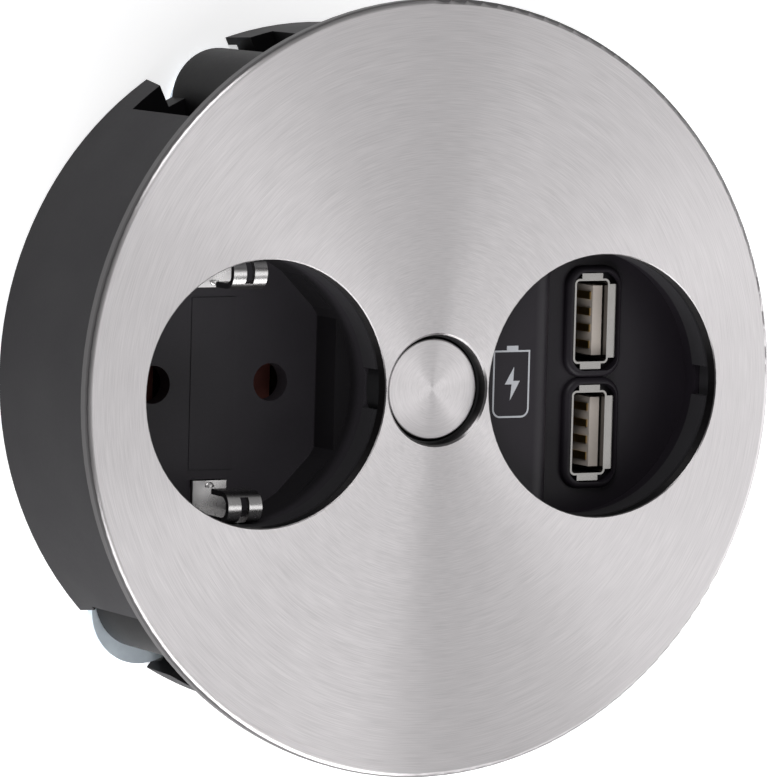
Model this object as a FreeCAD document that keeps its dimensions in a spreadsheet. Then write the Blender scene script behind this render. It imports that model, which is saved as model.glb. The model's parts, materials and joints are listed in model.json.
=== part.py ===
# Recessed desk socket: a round steel-faced unit let into a desk top, with one earthed mains socket
# and two USB outlets under a turning lid, and three claws that clamp it in its hole.
# Millimetres. +Z comes up out of the desk, the origin is on the axis in the plane of the desk top.
import FreeCAD
import Part
import Sketcher
import math
import os
import re

os.makedirs("parts", exist_ok=True)
doc = FreeCAD.newDocument("desk_socket")
sheet = doc.addObject("Spreadsheet::Sheet", "Sizes")

sizes = {
    # play between pieces, and how far a cut runs past the face that it opens
    "running_gap": 0.3,
    "seat_gap": 0.1,
    "shaft_play": 0.06,
    "tight_play": 0.02,
    "overcut": 1.0,
    # pot that drops into the desk
    "pot_radius": 51.0,
    "pot_wall": 1.8,
    "pot_depth": 34.5,
    "flange_overhang": 3.0,
    "flange_thickness": 1.0,
    "collar_step": 0.6,
    "collar_height": 6.0,
    "ledge_width": 2.2,
    "ledge_thickness": 1.6,
    "post_radius": 4.0,
    "post_bite": 0.2,
    "post_spread": 50.0,
    "post_spread_rear": 30.0,
    # clamping claws, and the niches, towers and pockets that they stand in
    "tower_radius": 7.5,
    "upper_angle": 113.8,
    "lower_angle": 229.5,
    "right_angle": 332.0,
    "niche_roof": 7.0,
    "niche_wall": 1.2,
    "niche_inset": 4.9,
    "niche_behind": 11.5,
    "niche_ahead": 17.2,
    "niche_lower_behind": 8.1,
    "niche_lower_ahead": 21.5,
    "strip_height": 6.0,
    "strip_thickness": 1.2,
    "pocket_depth": 2.0,
    "gap_lead": 1.8,
    "gap_half_width": 6.9,
    "gap_flare": 1.2,
    "gap_inset": 3.5,
    "spindle_radius": 2.0,
    "head_radius": 3.2,
    "head_thickness": 2.2,
    "head_slot_width": 0.9,
    "head_slot_depth": 1.1,
    "claw_throw": 2.0,
    "claw_radius": 8.0,
    "claw_thickness": 1.5,
    "claw_swing": 135.0,
    "driver_hole_radius": 2.5,
    # cover over the back of the pot
    "cover_thickness": 2.0,
    # screws
    "screw_radius": 1.15,
    "screw_head_radius": 2.4,
    "screw_head_thickness": 1.4,
    "screw_length": 10.0,
    # lid
    "lid_radius": 56.0,
    "lid_thickness": 2.0,
    "lid_edge_round": 0.8,
    "well_offset": 27.6,
    "lid_overlap": 0.2,
    "lid_opening_bevel": 0.15,
    "lid_hole_radius": 7.95,
    "lid_hole_bevel": 0.3,
    "carrier_thickness": 0.7,
    "carrier_inset": 0.8,
    "carrier_relief": 0.4,
    "lid_turn": 90.0,
    # hub that carries the lid
    "cup_bore": 7.6,
    "cup_wall": 0.6,
    "cup_floor": 0.9,
    "hub_radius": 5.4,
    "hub_bore": 4.2,
    "hub_length": 9.7,
    "hub_floor": 1.0,
    "clip_groove": 0.4,
    "clip_thickness": 0.6,
    "clip_radius": 6.6,
    # release button
    "button_radius": 7.3,
    "button_recess": 1.6,
    "button_thickness": 1.2,
    "button_travel": 2.0,
    "button_round": 0.3,
    "boss_radius": 3.9,
    "boss_length": 3.2,
    "stem_radius": 2.2,
    "stem_tip": 1.0,
    "lug_reach": 4.6,
    "lug_half_width": 1.0,
    "lug_thickness": 0.9,
    "spring_radius": 3.6,
    "spring_wall": 0.8,
    "spring_play": 0.05,
    # stirrup under the deck that stops the lid
    "stop_radius": 6.4,
    "stop_channel": 5.0,
    "stop_roof": 0.7,
    "stop_floor": 0.5,
    "stop_margin": 26.0,
    "stop_leg_half_width": 3.5,
    "stop_leg_thickness": 3.0,
    # deck under the lid
    "deck_thickness": 3.6,
    "notch_depth": 1.2,
    "socket_notch_half": 2.9,
    "usb_notch_half": 2.2,
    "bridge_half_width": 7.0,
    "bridge_half_length": 12.0,
    "bridge_depth": 4.4,
    # mains socket
    "insert_bore": 19.3,
    "insert_wall": 1.1,
    "socket_depth": 13.0,
    "socket_floor_thickness": 3.0,
    "shoulder_height": 6.0,
    "shoulder_reach": 16.8,
    "shoulder_half": 10.0,
    "pin_spacing": 19.0,
    "pin_hole_radius": 2.75,
    "band_half_width": 3.5,
    "band_height": 0.12,
    "band_inset": 1.5,
    "base_thickness": 5.0,
    "shutter_pocket": 3.0,
    "shutter_thickness": 2.4,
    "shutter_half_width": 4.3,
    "shutter_ramp": 5.4,
    "shutter_ramp_edge": 0.4,
    "shutter_rail": 1.2,
    "shutter_bar_gap": 0.8,
    "shutter_travel": 5.6,
    "sleeve_radius": 3.1,
    "sleeve_bore": 2.45,
    "sleeve_gap": 3.5,
    "clamp_inset": 0.3,
    "clamp_width": 6.4,
    "clamp_length": 7.0,
    "clamp_gap": 2.0,
    "clamp_roof": 1.0,
    "clamp_screw_shift": 0.6,
    "clamp_screw_reach": 1.2,
    # earth bracket
    "strip_metal": 0.8,
    "earth_width": 5.4,
    "earth_shift": -0.4,
    "earth_inner": 13.9,
    "hook_radius": 2.3,
    "hook_depth": 1.0,
    "hook_tail": 3.2,
    "fork_width": 1.3,
    # USB well
    "usb_depth": 5.2,
    "usb_floor_thickness": 1.4,
    "usb_relief": 0.2,
    "plateau_edge": 6.2,
    "plateau_round": 3.6,
    "usb_pitch": 16.4,
    "usb_shift": 0.45,
    "rim_height": 1.0,
    "rim_left": 1.55,
    "rim_width": 9.45,
    "rim_round": 3.0,
    "rim_edge_round": 0.8,
    "recess_left": 0.45,
    "recess_width": 7.7,
    "recess_height": 14.5,
    "recess_round": 2.2,
    "recess_depth": 1.6,
    # USB outlets
    "shell_width": 5.9,
    "shell_height": 12.45,
    "shell_round": 0.8,
    "shell_metal": 0.3,
    "shell_sink": 0.6,
    "shell_length": 13.2,
    "end_lip_width": 3.5,
    "end_lip_reach": 0.8,
    "side_lip_height": 10.8,
    "side_lip_reach": 1.2,
    "tongue_left": 3.8,
    "tongue_thickness": 1.6,
    "tongue_height": 10.2,
    "tongue_sink": 1.3,
    "contact_width": 1.1,
    "contact_length": 8.0,
    "contact_sink": 0.5,
    "contact_metal": 0.2,
    "contact_pitch": 2.4,
    # charger board
    "board_thickness": 1.4,
    "board_left": 14.0,
    "board_right": 6.0,
    "board_half_length": 14.2,
    "board_margin": 0.5,
    "coil_width": 13.0,
    "coil_length": 12.0,
    "coil_clearance": 2.1,
    "coil_gap": 1.5,
    "can_radius": 5.0,
    "can_clearance": 1.6,
    "can_shift": 1.0,
    "can_gap": 3.0,
    # cable gland in the hidden side of the pot
    "gland_angle": 27.0,
    "gland_gap": 1.3,
    "gland_bore": 3.6,
    "gland_wall": 1.3,
    "gland_flange": 1.3,
    "gland_flange_thickness": 1.5,
    "gland_boss_thickness": 4.0,
    "gland_length": 7.0,
}

# radii, places and heights that follow from the sizes above
worked_out = {
    "flange_radius": "pot_radius + flange_overhang",
    "collar_radius": "pot_radius + collar_step",
    "pot_inner": "pot_radius - pot_wall",
    "ledge_inner": "pot_inner - ledge_width",
    "post_ring": "pot_inner - post_radius + post_bite",
    "tower_ring": "pot_radius - tower_radius - seat_gap",
    "niche_radius": "tower_ring - niche_inset",
    "pocket_radius": "claw_throw + claw_radius + running_gap",
    "insert_radius": "insert_bore + insert_wall",
    "lid_opening_radius": "insert_bore - lid_overlap",
    "deck_opening_radius": "insert_bore - seat_gap",
    "plateau_radius": "insert_bore - running_gap",
    "usb_bore": "insert_bore + usb_relief",
    "socket_x": "-well_offset",
    "usb_x": "well_offset",
    "pin_x": "pin_spacing / 2",
    "far_below": "-pot_depth - overcut",
    "far_above": "lid_top + overcut",
    "carrier_bottom": "flange_thickness + running_gap",
    "lid_bottom": "carrier_bottom + carrier_thickness",
    "lid_top": "lid_bottom + lid_thickness",
    "deck_top": "flange_thickness",
    "deck_bottom": "deck_top - deck_thickness",
    "bridge_bottom": "deck_bottom - bridge_depth",
    "cup_bottom": "deck_bottom + running_gap",
    "cup_inside": "cup_bottom + cup_floor",
    "hub_bottom": "cup_bottom - hub_length",
    "hub_inside": "hub_bottom + hub_floor",
    "clip_top": "bridge_bottom - running_gap",
    "clip_bottom": "clip_top - clip_thickness",
    "groove_radius": "hub_radius - clip_groove",
    "stop_top": "hub_bottom - running_gap",
    "channel_top": "stop_top - stop_roof",
    "lug_top": "channel_top - running_gap",
    "lug_bottom": "lug_top - lug_thickness",
    "stop_bottom": "lug_bottom - button_travel - stop_floor",
    "leg_inner": "clip_radius + running_gap",
    "leg_outer": "leg_inner + stop_leg_thickness",
    "button_top": "lid_top - button_recess",
    "button_bottom": "button_top - button_thickness",
    "boss_bottom": "button_bottom - boss_length",
    "niche_top": "-niche_roof",
    "window_top": "niche_top - niche_wall",
    "window_bottom": "strip_height - pot_depth",
    "pocket_top": "pocket_depth - pot_depth",
    "head_top": "niche_top - running_gap",
    "head_bottom": "head_top - head_thickness",
    "claw_top": "pocket_top - running_gap",
    "claw_bottom": "claw_top - claw_thickness",
    "cover_top": "cover_thickness - pot_depth",
    "cover_seat": "running_gap - pot_depth",
    "socket_floor": "-socket_depth",
    "socket_under": "socket_floor - socket_floor_thickness",
    "shoulder_top": "socket_floor + shoulder_height",
    "pocket_floor": "socket_under - shutter_pocket",
    "base_bottom": "socket_under - base_thickness",
    "shutter_top": "socket_under - running_gap",
    "shutter_bottom": "shutter_top - shutter_thickness",
    "shutter_reach": "pin_x + shutter_ramp / 2",
    "sleeve_bottom": "cover_top + sleeve_gap",
    "clamp_near": "sleeve_bore + clamp_inset",
    "clamp_far": "clamp_near + clamp_length",
    "clamp_top": "base_bottom - clamp_gap",
    "earth_middle": "socket_x + earth_shift",
    "earth_left": "earth_middle - earth_width / 2",
    "earth_right": "earth_middle + earth_width / 2",
    "earth_leg": "earth_inner + strip_metal",
    "earth_outer": "insert_bore - running_gap",
    "hook_middle": "earth_outer - hook_radius",
    "hook_height": "-hook_depth - hook_radius",
    "tail_inner": "hook_middle - hook_radius",
    "tail_outer": "tail_inner + strip_metal",
    "usb_floor": "-usb_depth",
    "usb_under": "usb_floor - usb_floor_thickness",
    "rim_top": "usb_floor + rim_height",
    "shell_middle": "usb_x + shell_width / 2",
    "shell_top": "rim_top - shell_sink",
    "lip_bottom": "shell_top - shell_metal",
    "lip_reach": "shell_height / 2 + end_lip_reach",
    "shell_bottom": "shell_top - shell_length",
    "shell_inside": "shell_bottom + shell_metal",
    "tongue_face": "usb_x + tongue_left",
    "tongue_top": "shell_top - tongue_sink",
    "contact_top": "tongue_top - contact_sink",
    "board_bottom": "shell_bottom - board_thickness",
    "coil_left": "usb_x - board_left + board_margin",
    "gland_outer": "gland_bore + gland_wall",
    "gland_level": "cover_top + gland_outer + gland_flange + gland_gap",
    "gland_seat": "pot_radius - gland_boss_thickness",
    "gland_end": "pot_radius - 2 * running_gap",
    "gland_start": "gland_end - gland_length",
}
wells = {"socket": "socket_x", "usb": "usb_x"}
pins = {"live": "(socket_x - pin_x)", "neutral": "(socket_x + pin_x)"}
facings = {"front": "-", "back": ""}
towers = {"upper": "upper_angle", "lower": "lower_angle", "right": "right_angle"}
posts = ["post_spread", "(180 - post_spread_rear)", "(180 + post_spread_rear)", "(-post_spread)"]
outlets = {"upper": "(usb_shift + usb_pitch / 2)", "lower": "(usb_shift - usb_pitch / 2)"}
# share of a thickness that a rounded edge may take
most_round = 0.9
# size that a sketch starts at, before its bound sizes move it
guess = 5.0
parts = []

for row, (name, value) in enumerate(sizes.items(), 1):
    sheet.set("A%d" % row, name.replace("_", " "))
    sheet.set("B%d" % row, str(value))
    sheet.setAlias("B%d" % row, name)
doc.recompute()


def opened(word):
    """One word of an expression, worked out down to the sheet's own sizes."""
    name = word[0]
    if name in worked_out:
        return "(%s)" % formula(worked_out[name])
    return "Sizes." + name if name in sizes else name


def formula(text):
    """A size expression in the sheet's own words."""
    return re.sub(r"[a-z][a-z_]*", opened, text)


def bind(item, **targets):
    """Tie properties of an object to size expressions."""
    for target, text in targets.items():
        item.setExpression(target.replace("__", "."), formula(text))
    return item


def away(ring, angle):
    """Expressions for the point at a distance from the axis and an angle round it."""
    return "(%s * cos(%s * 1 deg))" % (ring, angle), "(%s * sin(%s * 1 deg))" % (ring, angle)


def facing(sign, inner, outer):
    """The front and back faces of what lies between two distances from the X axis, on one side of it."""
    return ("-(%s)" % outer, "-(%s)" % inner) if sign == "-" else (inner, outer)


def drum(name, radius, bottom, top, x="0", y="0"):
    """A cylinder standing between two heights."""
    item = doc.addObject("Part::Cylinder", name)
    bind(item, Radius=radius, Height="%s - (%s)" % (top, bottom))
    return bind(item, Placement__Base__x=x, Placement__Base__y=y, Placement__Base__z=bottom)


def about_axis(item, angle):
    """Turn an object about the main axis by a bound angle."""
    item.Placement = FreeCAD.Placement(FreeCAD.Vector(), FreeCAD.Rotation(FreeCAD.Vector(0, 0, 1), guess))
    return bind(item, Placement__Rotation__Angle=angle)


def ring_slice(name, outer, inner, bottom, top, start, sweep):
    """A slice of a ring about the main axis, from a start angle."""
    item = about_axis(drum(name + "_outer", outer, bottom, top), start)
    bind(item, Angle=sweep, Placement__Base__z=bottom)
    return cut(name, item, drum(name + "_inner", inner, bottom, top))


def block(name, left, right, front, back, bottom, top):
    """A box between six faces."""
    item = doc.addObject("Part::Box", name)
    bind(item, Length="%s - (%s)" % (right, left), Width="%s - (%s)" % (back, front))
    bind(item, Height="%s - (%s)" % (top, bottom))
    return bind(item, Placement__Base__x=left, Placement__Base__y=front, Placement__Base__z=bottom)


def bevel(name, radius, size, top, x="0"):
    """A cone that breaks the upper edge of a round hole."""
    item = doc.addObject("Part::Cone", name)
    bind(item, Radius1=radius, Radius2="%s + %s" % (radius, size), Height=size)
    return bind(item, Placement__Base__x=x, Placement__Base__z="%s - (%s)" % (top, size))


def fuse(name, *items):
    """Several shapes joined into one."""
    item = doc.addObject("Part::MultiFuse", name)
    item.Shapes = list(items)
    return item


def cut(name, base, *tools):
    """A shape with other shapes taken out of it."""
    item = doc.addObject("Part::Cut", name)
    item.Base = base
    item.Tool = tools[0] if len(tools) == 1 else fuse(name + "_tools", *tools)
    return item


def common(name, first, second):
    """What two shapes share."""
    item = doc.addObject("Part::Common", name)
    item.Base = first
    item.Tool = second
    return item


def part(item):
    """Keep an object as a sub-part under its own name."""
    parts.append(item)
    return item


def body(name):
    return doc.addObject("PartDesign::Body", name)


def sketch(owner, name, role="XY_Plane", offset="0"):
    """A sketch on one of the body's own origin planes, moved along the plane's normal."""
    item = owner.newObject("Sketcher::SketchObject", name)
    plane = next(feature for feature in owner.Origin.OriginFeatures if feature.Role == role)
    item.AttachmentSupport = [(plane, "")]
    item.MapMode = "FlatFace"
    item.setExpression("AttachmentOffset.Base.z", formula(offset))
    return item


def place(item, kind, geometry, spot, text, now):
    """A bound distance from the sketch's origin to a point of its geometry."""
    number = item.addConstraint(Sketcher.Constraint(kind, -1, 1, geometry, spot, now))
    item.setExpression("Constraints[%d]" % number, formula(text))


def circle(item, radius, x="0", y="0"):
    """A circle with a bound radius and centre."""
    number = item.addGeometry(Part.Circle(FreeCAD.Vector(guess, guess, 0), FreeCAD.Vector(0, 0, 1), guess))
    bound = item.addConstraint(Sketcher.Constraint("Radius", number, guess))
    item.setExpression("Constraints[%d]" % bound, formula(radius))
    place(item, "DistanceX", number, 3, x, guess)
    place(item, "DistanceY", number, 3, y, guess)


def outline(item, *corners):
    """A closed run of straight edges through bound corners."""
    count = len(corners)
    first = item.GeometryCount
    turn = [2 * math.pi * index / count for index in range(count)]
    spots = [FreeCAD.Vector(guess * math.cos(angle), guess * math.sin(angle), 0) for angle in turn]
    for index in range(count):
        item.addGeometry(Part.LineSegment(spots[index], spots[(index + 1) % count]))
    for index, (x, y) in enumerate(corners):
        before = first + (index - 1) % count
        item.addConstraint(Sketcher.Constraint("Coincident", before, 2, first + index, 1))
        place(item, "DistanceX", first + index, 1, x, spots[index].x)
        place(item, "DistanceY", first + index, 1, y, spots[index].y)


def rounded(item, x, y, width, height, radius):
    """A rectangle with equal round corners about a bound centre."""
    first = item.GeometryCount
    flat = guess / 2
    turns = [FreeCAD.Rotation(FreeCAD.Vector(0, 0, 1), 90 * index) for index in range(4)]
    for turn in turns:
        item.addGeometry(Part.LineSegment(turn.multVec(FreeCAD.Vector(-flat, -guess, 0)),
                                          turn.multVec(FreeCAD.Vector(flat, -guess, 0))))
    for index, turn in enumerate(turns):
        corner = turn.multVec(FreeCAD.Vector(flat, -flat, 0))
        ring = Part.Circle(corner, FreeCAD.Vector(0, 0, 1), guess - flat)
        start = math.radians(90 * index - 90)
        item.addGeometry(Part.ArcOfCircle(ring, start, start + math.pi / 2))
        item.addConstraint(Sketcher.Constraint("Tangent", first + index, 2, first + 4 + index, 1))
    for index in range(4):
        item.addConstraint(Sketcher.Constraint("Tangent", first + 4 + index, 2, first + (index + 1) % 4, 1))
        item.addConstraint(Sketcher.Constraint("Vertical" if index % 2 else "Horizontal", first + index))
    for index in (5, 6, 7):
        item.addConstraint(Sketcher.Constraint("Equal", first + 4, first + index))
    bound = item.addConstraint(Sketcher.Constraint("Radius", first + 4, guess - flat))
    item.setExpression("Constraints[%d]" % bound, formula(radius))
    place(item, "DistanceX", first + 3, 1, "%s - (%s) / 2" % (x, width), -guess)
    place(item, "DistanceX", first + 1, 1, "%s + (%s) / 2" % (x, width), guess)
    place(item, "DistanceY", first, 1, "%s - (%s) / 2" % (y, height), -guess)
    place(item, "DistanceY", first + 2, 1, "%s + (%s) / 2" % (y, height), guess)


def pad(owner, profile, length):
    item = owner.newObject("PartDesign::Pad", profile.Name + "_pad")
    item.Profile = profile
    return bind(item, Length=length)


def pocket(owner, profile, length):
    """A cut below the sketch."""
    item = owner.newObject("PartDesign::Pocket", profile.Name + "_pocket")
    item.Profile = profile
    return bind(item, Length=length)


def soften(owner, solid, name, radius, wanted):
    """Round the wanted edges of a solid."""
    doc.recompute()
    item = owner.newObject("PartDesign::Fillet", name)
    item.Base = (solid, ["Edge%d" % number for number, edge in enumerate(solid.Shape.Edges, 1)
                         if wanted(edge.BoundBox, solid.Shape.BoundBox)])
    return bind(item, Radius=radius)


def on_top(edge, whole):
    return math.isclose(edge.ZMin, whole.ZMax, abs_tol=0.01)


def on_top_right(edge, whole):
    return on_top(edge, whole) and math.isclose(edge.XMin, whole.XMax, abs_tol=0.01)


def turned(name, *corners):
    """A ring or disc turned about the main axis from an outline of radius and height."""
    owner = body(name)
    profile = sketch(owner, name + "_profile", "XZ_Plane")
    outline(profile, *corners)
    item = owner.newObject("PartDesign::Revolution", name + "_turned")
    item.Profile = (profile, [""])
    item.ReferenceAxis = (profile, ["V_Axis"])
    item.Angle = 360
    return owner


def prism(name, bottom, top, draw, *values):
    """A straight-sided solid between two heights, with its outline drawn by another function."""
    owner = body(name)
    profile = sketch(owner, name + "_outline", offset=bottom)
    draw(profile, *values)
    pad(owner, profile, "%s - (%s)" % (top, bottom))
    return owner


def disc_with_round(name, radius, bottom, thickness, edge_round):
    """A flat disc whose upper rim is rounded."""
    owner = body(name)
    face = sketch(owner, name + "_face", offset=bottom)
    circle(face, radius)
    disc = pad(owner, face, thickness)
    soften(owner, disc, name + "_rim", "min(%s; %s * %s)" % (edge_round, thickness, most_round), on_top)
    return owner


def inside_pot(name, item):
    """What of an object lies within the pot's outer wall."""
    return common(name, item, drum(name + "_limit", "pot_radius", "-pot_depth", "0"))


def strip_gap(side, angle):
    """The slant-sided gap in the rear strip that a claw swings out through."""
    owner = body("strip_gap_" + side)
    profile = sketch(owner, "strip_gap_outline_" + side, "YZ_Plane", "tower_ring + gap_inset")
    wide = "(gap_half_width + gap_flare)"
    outline(profile, ("-gap_half_width", "far_below"), ("gap_half_width", "far_below"),
            (wide, "window_bottom"), ("-" + wide, "window_bottom"))
    pad(owner, profile, "pot_radius + overcut - tower_ring - gap_inset")
    return about_axis(owner, "%s + gap_lead" % angle)


def claw_station(side, angle):
    """One claw's walls, the niche and gap cut from them, its tower, and the pocket and bores cut last."""
    x, y = away("tower_ring", angle)
    which = "lower_" if side == "lower" else ""
    edge = "(niche_wall / niche_radius * 180 / pi)"
    start = "(%s - niche_%sbehind)" % (angle, which)
    sweep = "(niche_%sbehind + niche_%sahead)" % (which, which)
    walls = ring_slice("niche_walls_" + side, "pot_radius", "niche_radius - niche_wall",
                       "window_bottom - niche_wall", "niche_top", "%s - %s" % (start, edge),
                       "%s + 2 * %s" % (sweep, edge))
    boss = drum("pocket_boss_" + side, "pocket_radius + niche_wall", "-pot_depth", "window_bottom", x, y)
    niche = ring_slice("niche_" + side, "pot_radius + overcut", "niche_radius", "window_bottom",
                       "window_top", start, sweep)
    tower = drum("tower_" + side, "tower_radius", "pocket_top", "niche_top", x, y)
    hollow = common("claw_pocket_" + side, drum("pocket_round_" + side, "pocket_radius", "far_below",
                                                "pocket_top", x, y),
                    drum("pocket_limit_" + side, "pot_radius - strip_thickness", "far_below", "0"))
    bore = drum("spindle_bore_" + side, "spindle_radius + shaft_play", "far_below", "0", x, y)
    recess = drum("head_recess_" + side, "head_radius + running_gap", "head_bottom - running_gap", "0",
                  x, y)
    first_solids = [walls, inside_pot("pocket_wall_" + side, boss)]
    return first_solids, [niche, strip_gap(side, angle)], [tower], [hollow, bore, recess]


def make_housing():
    """The moulded pot: flange, collar, wall, ledge, screw posts, gland seat and three claw stations."""
    shell = turned("pot", ("pot_inner", "-pot_depth"), ("pot_radius", "-pot_depth"),
                   ("pot_radius", "-collar_height"), ("collar_radius", "-collar_height"),
                   ("collar_radius", "0"), ("flange_radius", "0"), ("flange_radius", "flange_thickness"),
                   ("pot_inner", "flange_thickness"))
    ledge = turned("ledge", ("ledge_inner", "deck_bottom - ledge_thickness"),
                   ("pot_inner", "deck_bottom - ledge_thickness - ledge_width"),
                   ("pot_inner", "deck_bottom"), ("ledge_inner", "deck_bottom"))
    relief = [drum("ledge_relief_" + side, "insert_radius + 2 * running_gap", "-pot_depth / 2", "0", x)
              for side, x in wells.items()]
    gland_boss = along_gland("gland_boss", "gland_outer + gland_flange + running_gap", "gland_seat",
                             "pot_radius")
    solids = [shell, cut("ledge_arcs", ledge, *relief), inside_pot("gland_block", gland_boss)]
    hollows = []
    late_solids = []
    late_hollows = [along_gland("gland_hole", "gland_outer + seat_gap", "gland_seat - overcut",
                                "pot_radius + overcut")]
    for index, angle in enumerate(posts):
        x, y = away("post_ring", angle)
        solids.append(drum("post_%d" % index, "post_radius", "cover_top", "deck_bottom", x, y))
        late_hollows.append(drum("post_top_hole_%d" % index, "screw_radius + seat_gap",
                                 "deck_bottom - screw_length - overcut", "deck_bottom", x, y))
        late_hollows.append(drum("post_rear_hole_%d" % index, "screw_radius + seat_gap", "cover_top",
                                 "cover_top + screw_length + overcut", x, y))
    for side, angle in towers.items():
        for kept, made in zip((solids, hollows, late_solids, late_hollows), claw_station(side, angle)):
            kept.extend(made)
    rough = cut("pot_with_niches", fuse("pot_solids", *solids), *hollows)
    part(cut("housing", fuse("pot_with_towers", rough, *late_solids), *late_hollows))


def along_gland(name, radius, start, end):
    """A cylinder along the gland's axis, between two distances from the main axis."""
    item = doc.addObject("Part::Cylinder", name)
    bind(item, Radius=radius, Height="%s - (%s)" % (end, start))
    item.Placement = FreeCAD.Placement(FreeCAD.Vector(), FreeCAD.Rotation(FreeCAD.Vector(0, 1, 0), 90))
    bind(item, Placement__Rotation__Axis__x="-sin(gland_angle * 1 deg)",
         Placement__Rotation__Axis__y="cos(gland_angle * 1 deg)")
    x, y = away("(%s)" % start, "gland_angle")
    return bind(item, Placement__Base__x=x, Placement__Base__y=y, Placement__Base__z="gland_level")


def make_gland():
    """The bush that takes the cable, seated on a flat inside the pot's wall."""
    tube = along_gland("gland_tube", "gland_outer", "gland_start", "gland_end")
    flange = along_gland("gland_collar", "gland_outer + gland_flange",
                         "gland_seat - gland_flange_thickness", "gland_seat")
    bore = along_gland("gland_passage", "gland_bore", "gland_start - overcut", "gland_end + overcut")
    part(cut("cable_gland", fuse("gland_solid", tube, flange), bore))


def post_spots():
    """The points over the screw posts."""
    return [away("post_ring", angle) for angle in posts]


def make_screws(name, seat, sense):
    """Screws over the posts: heads on from a seat height, then shanks, all one way along the axis."""
    neck = "(%s %s screw_head_thickness)" % (seat, sense)
    tip = "(%s %s screw_length)" % (neck, sense)
    head = (neck, seat) if sense == "-" else (seat, neck)
    shank = (tip, neck) if sense == "-" else (neck, tip)
    pieces = []
    for index, spot in enumerate(post_spots()):
        pieces.append(drum("%s_head_%d" % (name, index), "screw_head_radius", *head, *spot))
        pieces.append(drum("%s_shank_%d" % (name, index), "screw_radius", *shank, *spot))
    part(fuse(name, *pieces))


def make_cover():
    """The round cover in the back of the pot, bitten away round the three claw pockets."""
    plate = drum("cover_disc", "pot_inner - running_gap", "-pot_depth", "cover_top")
    tools = [drum("cover_bite_" + side, "pocket_radius + niche_wall + running_gap", "far_below", "0",
                  *away("tower_ring", angle)) for side, angle in towers.items()]
    for index, spot in enumerate(post_spots()):
        tools.append(drum("cover_hole_%d" % index, "screw_radius + seat_gap", "far_below", "0", *spot))
        tools.append(drum("cover_sink_%d" % index, "screw_head_radius + seat_gap", "far_below",
                          "cover_seat + screw_head_thickness", *spot))
    part(cut("back_cover", plate, *tools))
    make_screws("cover_screws", "cover_seat", "+")


def make_claws():
    """Three plated discs, each carried off centre by a slotted spindle; the lower one is swung out."""
    for side, angle in towers.items():
        turn = "180 - claw_swing" if side == "lower" else "180"
        x, y = away("tower_ring", angle)
        throw_x, throw_y = away("claw_throw", "(%s + %s)" % (angle, turn))
        shank = drum("shank_" + side, "spindle_radius", "claw_bottom", "head_bottom", x, y)
        head = drum("head_" + side, "head_radius", "head_bottom", "head_top", x, y)
        slot = block("slot_" + side, x + " - head_slot_width / 2", x + " + head_slot_width / 2",
                     y + " - head_radius - overcut", y + " + head_radius + overcut",
                     "head_top - head_slot_depth", "0")
        part(cut("spindle_" + side, fuse("spindle_solid_" + side, shank, head), slot))
        disc = drum("claw_disc_" + side, "claw_radius", "claw_bottom", "claw_top", x + " + " + throw_x,
                    y + " + " + throw_y)
        hole = drum("claw_hole_" + side, "spindle_radius + tight_play", "far_below", "0", x, y)
        part(cut("claw_" + side, disc, hole))


def make_lid():
    """The steel disc with its rounded rim, two round openings and the hole for the button."""
    disc = disc_with_round("lid_blank", "lid_radius", "lid_bottom", "lid_thickness", "lid_edge_round")
    land = "max(well_offset - lid_opening_radius - lid_hole_radius; seat_gap)"
    tools = [drum("lid_hole", "lid_hole_radius", "0", "far_above"),
             bevel("lid_hole_bevelled", "lid_hole_radius", "min(lid_hole_bevel; %s / 2)" % land, "lid_top")]
    for side, x in wells.items():
        tools.append(drum("lid_opening_" + side, "lid_opening_radius", "0", "far_above", x))
        tools.append(bevel("lid_opening_bevelled_" + side, "lid_opening_radius",
                           "min(lid_opening_bevel; %s / 3)" % land, "lid_top", x))
    part(cut("lid", disc, *tools))


def make_carrier():
    """The black plate bonded under the lid, with the button's cup and the hub tube in one moulding."""
    disc = drum("carrier_disc", "lid_radius - carrier_inset", "carrier_bottom", "lid_bottom")
    openings = [drum("carrier_opening_" + side, "lid_opening_radius + carrier_relief", "0", "lid_top", x)
                for side, x in wells.items()]
    cup = drum("cup_outside", "cup_bore + cup_wall", "cup_bottom", "lid_bottom")
    tube = drum("hub_outside", "hub_radius", "hub_bottom", "cup_bottom")
    solid = fuse("carrier_solid", cut("carrier_plate", disc, *openings), cup, tube)
    groove = cut("clip_groove_ring",
                 drum("groove_outside", "hub_radius + overcut", "clip_bottom", "clip_top"),
                 drum("groove_inside", "groove_radius", "clip_bottom", "clip_top"))
    stem_hole = drum("hub_stem_hole", "stem_radius + shaft_play", "hub_bottom - overcut", "hub_inside")
    part(cut("lid_carrier", solid, drum("cup_hollow", "cup_bore", "cup_inside", "lid_top"),
             drum("hub_hollow", "hub_bore", "hub_inside", "cup_inside"), stem_hole, groove))
    part(cut("hub_clip", drum("clip_outside", "clip_radius", "clip_bottom", "clip_top"),
             drum("clip_inside", "groove_radius + tight_play", "clip_bottom", "clip_top")))


def make_button():
    """The release button: cap, stem with its two lugs, and the spring that lifts it."""
    part(disc_with_round("button_cap", "button_radius", "button_bottom", "button_thickness",
                         "button_round"))
    boss = drum("stem_boss", "boss_radius", "boss_bottom", "button_bottom")
    stem = drum("stem_shaft", "stem_radius", "lug_bottom - stem_tip", "boss_bottom")
    lugs = block("stem_lugs", "-lug_reach", "lug_reach", "-lug_half_width", "lug_half_width", "lug_bottom",
                 "lug_top")
    part(fuse("button_stem", boss, stem, lugs))
    low = "(hub_inside + spring_play)"
    high = "(boss_bottom - spring_play)"
    part(cut("button_spring", drum("spring_outside", "spring_radius", low, high),
             drum("spring_inside", "spring_radius - spring_wall", low, high)))


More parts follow.
